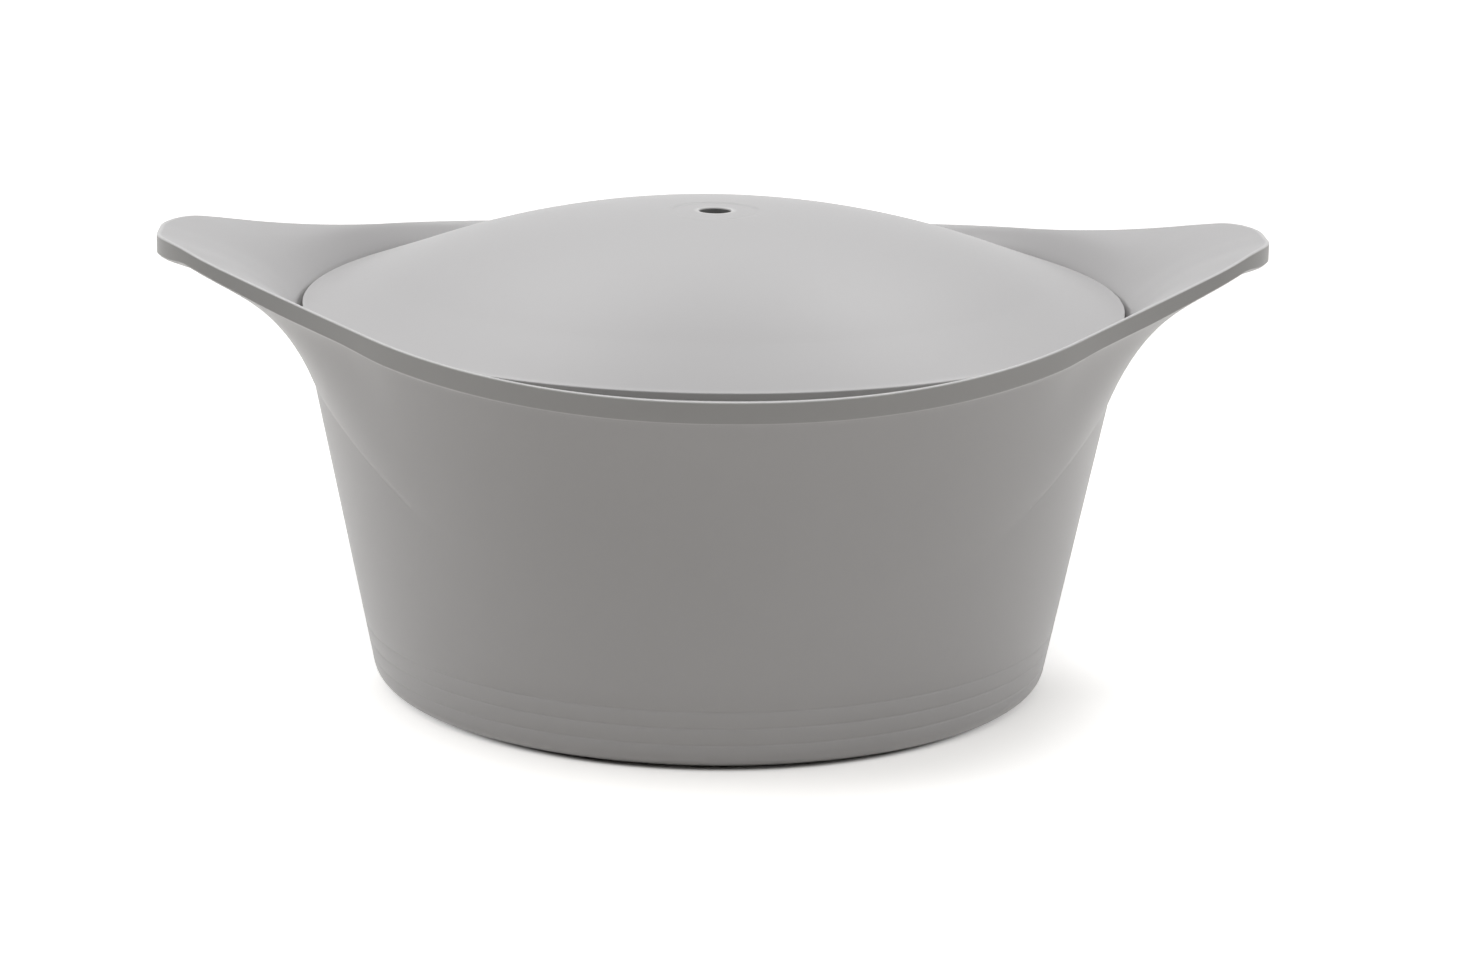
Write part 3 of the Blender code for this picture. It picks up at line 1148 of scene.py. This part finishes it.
@dataclass
class LidCasting(SweptPiece):
    """The domed lid, with its brim, its locating lip underneath and its steam vent."""

    radius: float = 0.1260
    # The dome, a cap of a sphere that rises from the brim's level
    brim_top: float = 0.1182
    dome_foot_radius: float = 0.1218
    dome_rise: float = 0.0281
    dome_wall: float = 0.0035
    dome_steps: int = 44
    # Where it runs out into the brim's gentler slope
    slope_start: float = 0.1020
    slope_round: float = 0.0500
    slope_steps: int = 8
    # The brim's upper edge, with the width of its rubbed border with a painted highlight, and its
    # lower edge
    edge_height: float = 0.1183
    edge_round: float = 0.0003
    edge_wear_and_highlight: float = 0.15
    rubbed_and_highlit_width: float = 0.0015
    brim_bottom: float = 0.1142
    brim_chamfer: float = 0.0003
    chamfer_wear_and_highlight: float = 0.4
    # The locating lip, with the chamfer between it and the brim
    lip_radius: float = 0.12076662
    lip_thickness: float = 0.0025
    lip_bottom: float = 0.1092
    lip_round: float = 0.0006
    lip_wear_and_highlight: float = 0.5
    lip_root: float = 0.0008
    # The round between the lip and the hollow: how far in and down its middle lies, as shares
    hollow_root: float = 0.0015
    hollow_root_middle: Point = (0.3, 0.35)
    # The vent, and the faint round seat about it
    vent_radius: float = 0.0049
    vent_round: float = 0.0004
    vent_wear_and_highlight: float = 1.0
    seat_radius: float = 0.0129
    seat_depth: float = 0.00020
    seat_slope_width: float = 0.0005

    @property
    def dome_radius(self) -> float:
        """Radius of the sphere that the dome is part of."""
        return (self.dome_foot_radius**2 + self.dome_rise**2) / (2.0 * self.dome_rise)

    def dome_height(self, radius: float, inset: float = 0.0) -> float:
        """Height of the dome, or of the sphere that lies inset inside it, at a radius."""
        centre = self.brim_top + self.dome_rise - self.dome_radius
        return centre + math.sqrt((self.dome_radius - inset) ** 2 - radius**2)

    def _dome_rows(self, start: float, end: float, steps: int, inset: float = 0.0) -> list[Row]:
        """Rows along the dome between two radii, both included."""
        radii = [blend(share, start, end) for share in shares(steps)]
        return [Row(radius, self.dome_height(radius, inset)) for radius in radii]

    def _foot_rows(self) -> list[Row]:
        """Rows of the round where the dome runs out into the brim's slope, and of that slope.

        Returns:
            The rows.
        """
        middle = self.slope_start
        corner = self.dome_height(middle)
        fall = (corner - self.edge_height) / (self.radius - middle)
        dome_tilt, slope_tilt = math.asin(middle / self.dome_radius), math.atan(fall)
        setback = self.slope_round * math.tan(0.5 * (dome_tilt - slope_tilt))
        start = middle - setback * math.cos(dome_tilt)
        end = middle + setback * math.cos(slope_tilt)
        guides = (
            (start, middle, end),
            (self.dome_height(start), corner, corner - fall * (end - middle)),
        )
        steps = shares(self.slope_steps)
        found = [Row(*(bezier_point(share, guide) for guide in guides)) for share in steps]
        inset = self.rubbed_and_highlit_width
        return found + [Row(self.radius - inset, self.edge_height + fall * inset)]

    def _brim_rows(self) -> list[Row]:
        """Rows of the brim's edge, of its upright side with painted shade and of its small lower
        chamfer.

        Returns:
            The rows.
        """
        radius, chamfer = self.radius, self.brim_chamfer
        corner = (radius, self.edge_height)
        found = rounded_edge(corner, self.edge_round, 0.0, self.edge_wear_and_highlight)[::-1]
        # The brim's upright side carries painted shade.
        for height in (found[-1].height - 0.5 * chamfer, self.brim_bottom + chamfer):
            found.append(Row(radius, height, bare=UPRIGHT_SHADE))
        return found + [Row(radius - chamfer, self.brim_bottom, self.chamfer_wear_and_highlight)]

    def _lip_rows(self) -> list[Row]:
        """Rows of the locating lip, from the brim's lower face round to the hollow.

        Returns:
            The rows.
        """
        outer, root = self.lip_radius, self.lip_root
        inner = outer - self.lip_thickness
        found = [Row(outer + root, self.brim_bottom), Row(outer, self.brim_bottom - root)]
        for radius, start in ((outer, -QUARTER_TURN), (inner, math.pi)):
            corner = (radius, self.lip_bottom)
            found += rounded_edge(corner, self.lip_round, start, self.lip_wear_and_highlight)[::-1]
        inwards, down = (self.hollow_root * share for share in self.hollow_root_middle)
        for step, drop in ((0.0, self.hollow_root), (inwards, down)):
            radius = inner - step
            found.append(Row(radius, self.dome_height(radius, self.dome_wall) - drop))
        return found

    def _seat_rows(self, start: float) -> list[Row]:
        """Rows across the faint round seat about the vent.

        Args:
            start: Radius of the first row.

        Returns:
            The rows.
        """
        outer = self.seat_radius + self.seat_slope_width
        middle = 0.5 * (self.seat_radius + outer)
        found = self._dome_rows(start, self.seat_radius, steps=5, inset=self.seat_depth)
        found += [Row(middle, self.dome_height(middle, 0.5 * self.seat_depth))]
        return found + [Row(outer, self.dome_height(outer))]

    def rows(self) -> list[Row]:
        """Rows of the whole lid, from the vent over the dome, round the brim and back inside.

        Returns:
            The rows.
        """
        vent, small = self.vent_radius, self.vent_round
        start = vent + small
        seat, foot = self._seat_rows(start), self._foot_rows()
        centre = (start, seat[0].height - small)
        # The vent's edge carries rubbing with a painted highlight.
        edge = arc_rows(centre, small, math.pi, QUARTER_TURN, steps=4, edge=self.vent_wear_and_highlight)
        dome = self._dome_rows(seat[-1].radius, foot[0].radius, self.dome_steps)
        found = edge + seat[1:] + dome[1:-1] + foot + self._brim_rows() + self._lip_rows()
        hollow_foot = self.lip_radius - self.lip_thickness - self.hollow_root
        found += self._dome_rows(hollow_foot, start, self.dome_steps, self.dome_wall)
        vent_bottom = self.dome_height(vent, self.dome_wall) + small
        # The vent's bore carries painted shade.
        for height in (vent_bottom, edge[0].height - 0.5 * small):
            found.append(Row(vent, height, bare=BORE_SHADE))
        return found + edge[:1]

    def build(self, tree: NodeTree, material: Material) -> Object:
        """Builds the lid and puts it on the lid's body.

        Args:
            tree: The plain sweep tree.
            material: The coating.

        Returns:
            The piece.
        """
        piece = self.sweep("lid_casting", self.rows(), tree, material)
        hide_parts("lid")
        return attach(piece, "lid")


@dataclass
class InductionPlate(SweptPiece):
    """The steel plate in the base, turned with a pattern of shallow rings in its lower face."""

    radius: float = 0.0879944
    thickness: float = 0.0018
    edge_round: float = 0.0004
    edge_wear_and_highlight: float = 1.0
    # The rings, whose profile is in shares of their pitch and depth, and the plain parts about them
    ring_count: int = 24
    ring_depth: float = 0.00022
    ring_profile: tuple[Point, ...] = (
        (0.0, 0.0), (0.55, 0.0), (0.67, 0.8), (0.78, 1.0), (0.89, 0.8)
    )
    plain_middle: float = 0.0080
    plain_border: float = 0.0050

    def rows(self) -> list[Row]:
        """Rows of the whole plate, from the middle of its lower face round to its upper face's.

        Returns:
            The rows.
        """
        border = self.radius - self.plain_border
        found = level_rows(0.0, 0.0, 0.5 * self.plain_middle, steps=1)
        pitch = (border - self.plain_middle) / self.ring_count
        for ring in range(self.ring_count):
            for share, depth in self.ring_profile:
                radius = self.plain_middle + (ring + share) * pitch
                found.append(Row(radius, depth * self.ring_depth))
        found.append(Row(border, 0.0))
        found += rounded_edge((self.radius, 0.0), self.edge_round, -QUARTER_TURN, self.edge_wear_and_highlight)
        return found + level_rows(self.thickness, self.radius, 0.0, steps=2)

    def build(self, tree: NodeTree, material: Material) -> Object:
        """Builds the plate and puts it on the pot's body.

        Args:
            tree: The plain sweep tree.
            material: The steel.

        Returns:
            The piece.
        """
        piece = self.sweep("induction_plate", self.rows(), tree, material)
        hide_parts("induction_disc")
        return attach(piece, "pot")


# Studio


@dataclass(frozen=True)
class SoftBox:
    """A plain rectangular lamp.

    Args:
        name: The lamp's name.
        place: Where it hangs.
        size: Its width and height.
        power: Its power in watts.
        target: What it points at.
    """

    name: str
    place: tuple[float, float, float]
    size: Point
    power: float
    target: tuple[float, float, float] = (0.0, 0.0, 0.08)

    def hang(self) -> Object:
        """Adds the lamp to the scene.

        Returns:
            The lamp.
        """
        data = bpy.data.lights.new(self.name, "AREA")
        data.shape = "RECTANGLE"
        data.size, data.size_y = self.size
        data.energy = self.power
        lamp = in_scene(self.name, data)
        lamp.location = self.place
        lamp.rotation_mode = "QUATERNION"
        away = Vector(self.target) - Vector(self.place)
        lamp.rotation_quaternion = away.to_track_quat("-Z", "Y")
        lamp.visible_camera = False
        LOG.info("%s: %.1f W", self.name, self.power)
        return lamp


@dataclass(frozen=True)
class PhotoCamera:
    """The photograph's camera, solved from the pot's outline.

    Args:
        image_width: Width of the frame in pixels.
        focal_length: Focal length in the same pixels.
        sensor_width: Width of the sensor in millimetres.
        clip: Nearest and farthest distance that it sees.
        place: Where the camera stands.
        pan: Its turn from the +Y direction towards +X.
        pitch: How far it looks down.
        roll: Its tilt about its own axis.
    """

    image_width: int = 1460
    focal_length: float = 4315.76
    sensor_width: float = 36.0
    clip: Point = (0.05, 60.0)
    place: tuple[float, float, float] = (-0.04613, -1.29918, 0.394995)
    pan: float = 0.03996
    pitch: float = 0.2532
    roll: float = -0.0151

    def add(self) -> Object:
        """Adds the camera and makes it the scene's own.

        Returns:
            The camera.
        """
        data = bpy.data.cameras.new("photo_camera")
        data.sensor_width = self.sensor_width
        data.lens = self.focal_length / self.image_width * self.sensor_width
        data.clip_start, data.clip_end = self.clip
        level, sine, cosine = math.cos(self.pitch), math.sin(self.pan), math.cos(self.pan)
        forward = Vector((sine * level, cosine * level, -math.sin(self.pitch)))
        right = Vector((cosine, -sine, 0.0))
        down = forward.cross(right)
        turned_right = math.cos(self.roll) * right + math.sin(self.roll) * down
        turned_down = math.cos(self.roll) * down - math.sin(self.roll) * right
        place = Matrix((turned_right, -turned_down, -forward)).transposed().to_4x4()
        place.translation = self.place
        camera = in_scene("photo_camera", data)
        camera.matrix_world = place
        bpy.context.scene.camera = camera
        return camera


@dataclass(frozen=True)
class FloorGlow:
    """Glow that lifts the floor towards white outside an oval.

    Args:
        strength: How far it lifts the floor.
        edge: Distances from the oval's middle where the lift starts and is full.
        squeeze: How far the oval is squeezed from its left and right. At 0 it is a band across
            the floor.
        middle: Where the oval's middle lies on the floor.
    """

    strength: float
    edge: Point
    squeeze: float = 1.0
    middle: Point = (0.0, 0.0)

    def lift(self, x: Field, y: Field) -> Field:
        """Strength of the glow at a point of the floor."""
        across, along = (x - self.middle[0]) * self.squeeze, y - self.middle[1]
        return smooth_step(distance(across, along), *self.edge) * self.strength


@dataclass(frozen=True)
class Studio:
    """White floor, soft lamps and the surroundings that they stand in.

    Args:
        lamps: The soft lamps.
        floor_size: Length of the floor's sides.
        floor_height: Height of the floor, just under the plate's lower face.
        floor_colour: Colour of the floor.
        glows: Lifts of the floor outside the dark contact line, where the soft shadow ends and
            behind the pot's front.
        glow_limit: The most that they lift it together.
        horizon_glow: Further lift where the lamps no longer reach.
        backdrop: Strength of the surroundings where the camera or gloss sees them.
    """

    lamps: tuple[SoftBox, ...] = (
        SoftBox("overhead_box", (0.0, -0.6, 1.6), (1.4, 0.8), 10.3),
        SoftBox("back_box", (0.0, 1.3, 1.4), (1.6, 1.0), 4.2),
        SoftBox("back_left_box", (-0.42, 1.3, 1.65), (0.4, 0.5), 1.2),
        SoftBox("back_right_box", (0.52, 1.3, 1.65), (0.4, 0.5), 1.4),
        SoftBox("left_box", (-1.4, 0.0, 1.4), (1.0, 1.0), 12.5),
        SoftBox("right_box", (1.4, 0.0, 1.4), (1.0, 1.0), 7.1),
        SoftBox("right_front_box", (1.4, -0.9, 1.1), (1.0, 1.0), 3.4),
    )
    floor_size: float = 16.0
    floor_height: float = -0.0001
    floor_colour: Colour = (0.785, 0.768, 0.742, 1.0)
    glows: tuple[FloorGlow, ...] = (
        FloorGlow(0.37, (0.1012, 0.1054), 1.06),
        FloorGlow(0.34, (0.110, 0.165), 1.25, (0.010, 0.0)),
        FloorGlow(0.2, (0.070, 0.120), 0.0, (0.0, -0.100)),
    )
    glow_limit: float = 0.71
    horizon_glow: FloorGlow = FloorGlow(0.3, (0.4, 2.0))
    backdrop: float = 1.0

    @staticmethod
    def _seen_directly(tree: NodeTree) -> Field:
        """Tells rays from the camera, off a glossy surface or through glass from the others.

        Args:
            tree: The node tree of the surface or the surroundings that they meet.

        Returns:
            1 for those rays and 0 for the others.
        """
        path = tree.nodes.new("ShaderNodeLightPath").outputs
        kinds = ("Is Camera Ray", "Is Glossy Ray", "Is Transmission Ray")
        camera, glossy, through = (Field(tree, path[kind]) for kind in kinds)
        return (camera + glossy + through).at_most(1.0)

    def _floor_material(self) -> Material:
        """Makes the floor's matt white, which glows away from the pot.

        Returns:
            The material.
        """
        material = bpy.data.materials.new("white_floor")
        material.use_nodes = True
        tree = material.node_tree
        x, y, _ = parts_of(tree, object_place(tree))
        near_pot = sum(glow.lift(x, y) for glow in self.glows).at_most(self.glow_limit)
        lift = near_pot + self.horizon_glow.lift(x, y)
        shader = tree.nodes["Principled BSDF"].inputs
        shader["Base Color"].default_value = self.floor_colour
        shader["Roughness"].default_value = 1.0
        shader["Specular IOR Level"].default_value = 0.0
        shader["Emission Color"].default_value = WHITE
        feed(tree, shader["Emission Strength"], self._seen_directly(tree) * lift)
        return material

    def _lay_floor(self) -> Object:
        """Lays the white floor, which keeps the pot's shadow.

        Returns:
            The floor.
        """
        half = 0.5 * self.floor_size
        corners = ((-half, -half), (half, -half), (half, half), (-half, half))
        mesh = bpy.data.meshes.new("floor")
        mesh.from_pydata([(x, y, self.floor_height) for x, y in corners], [], [(0, 1, 2, 3)])
        mesh.materials.append(self._floor_material())
        floor = in_scene("floor", mesh)
        return floor

    def _surround(self) -> None:
        """Sets the plain surroundings, which are white where they are seen and light nothing."""
        world = bpy.data.worlds.new("white_surroundings")
        world.use_nodes = True
        bpy.context.scene.world = world
        tree = world.node_tree
        background = tree.nodes["Background"].inputs
        background["Color"].default_value = WHITE
        feed(tree, background["Strength"], self._seen_directly(tree) * self.backdrop)

    def set_up(self) -> None:
        """Builds the studio."""
        self._lay_floor()
        self._surround()
        for lamp in self.lamps:
            lamp.hang()
        bpy.context.scene.view_settings.view_transform = "Standard"


COATING = SatinCoating("satin_coating", (0.506, 0.498, 0.5, 1.0), 0.37)
STEEL = TurnedSteel("turned_steel", (0.55, 0.55, 0.56, 1.0), 0.34)


def main() -> None:
    """Builds the pot, its plate, its lid and the studio round them."""
    logging.basicConfig(level=logging.INFO, format="%(name)s: %(message)s")
    PhotoCamera().add()
    effects = Effects()
    coating, steel = COATING.material(effects), STEEL.material(effects)
    plain_tree = SweepTree("turned_skin").build()
    winged_tree = WingedTree("winged_skin", RimSizes()).build()
    PotCasting(sides=320).build(winged_tree, coating)
    LidCasting().build(plain_tree, coating)
    InductionPlate(sides=240).build(plain_tree, steel)
    Studio().set_up()


if __name__ == "__main__":
    main()
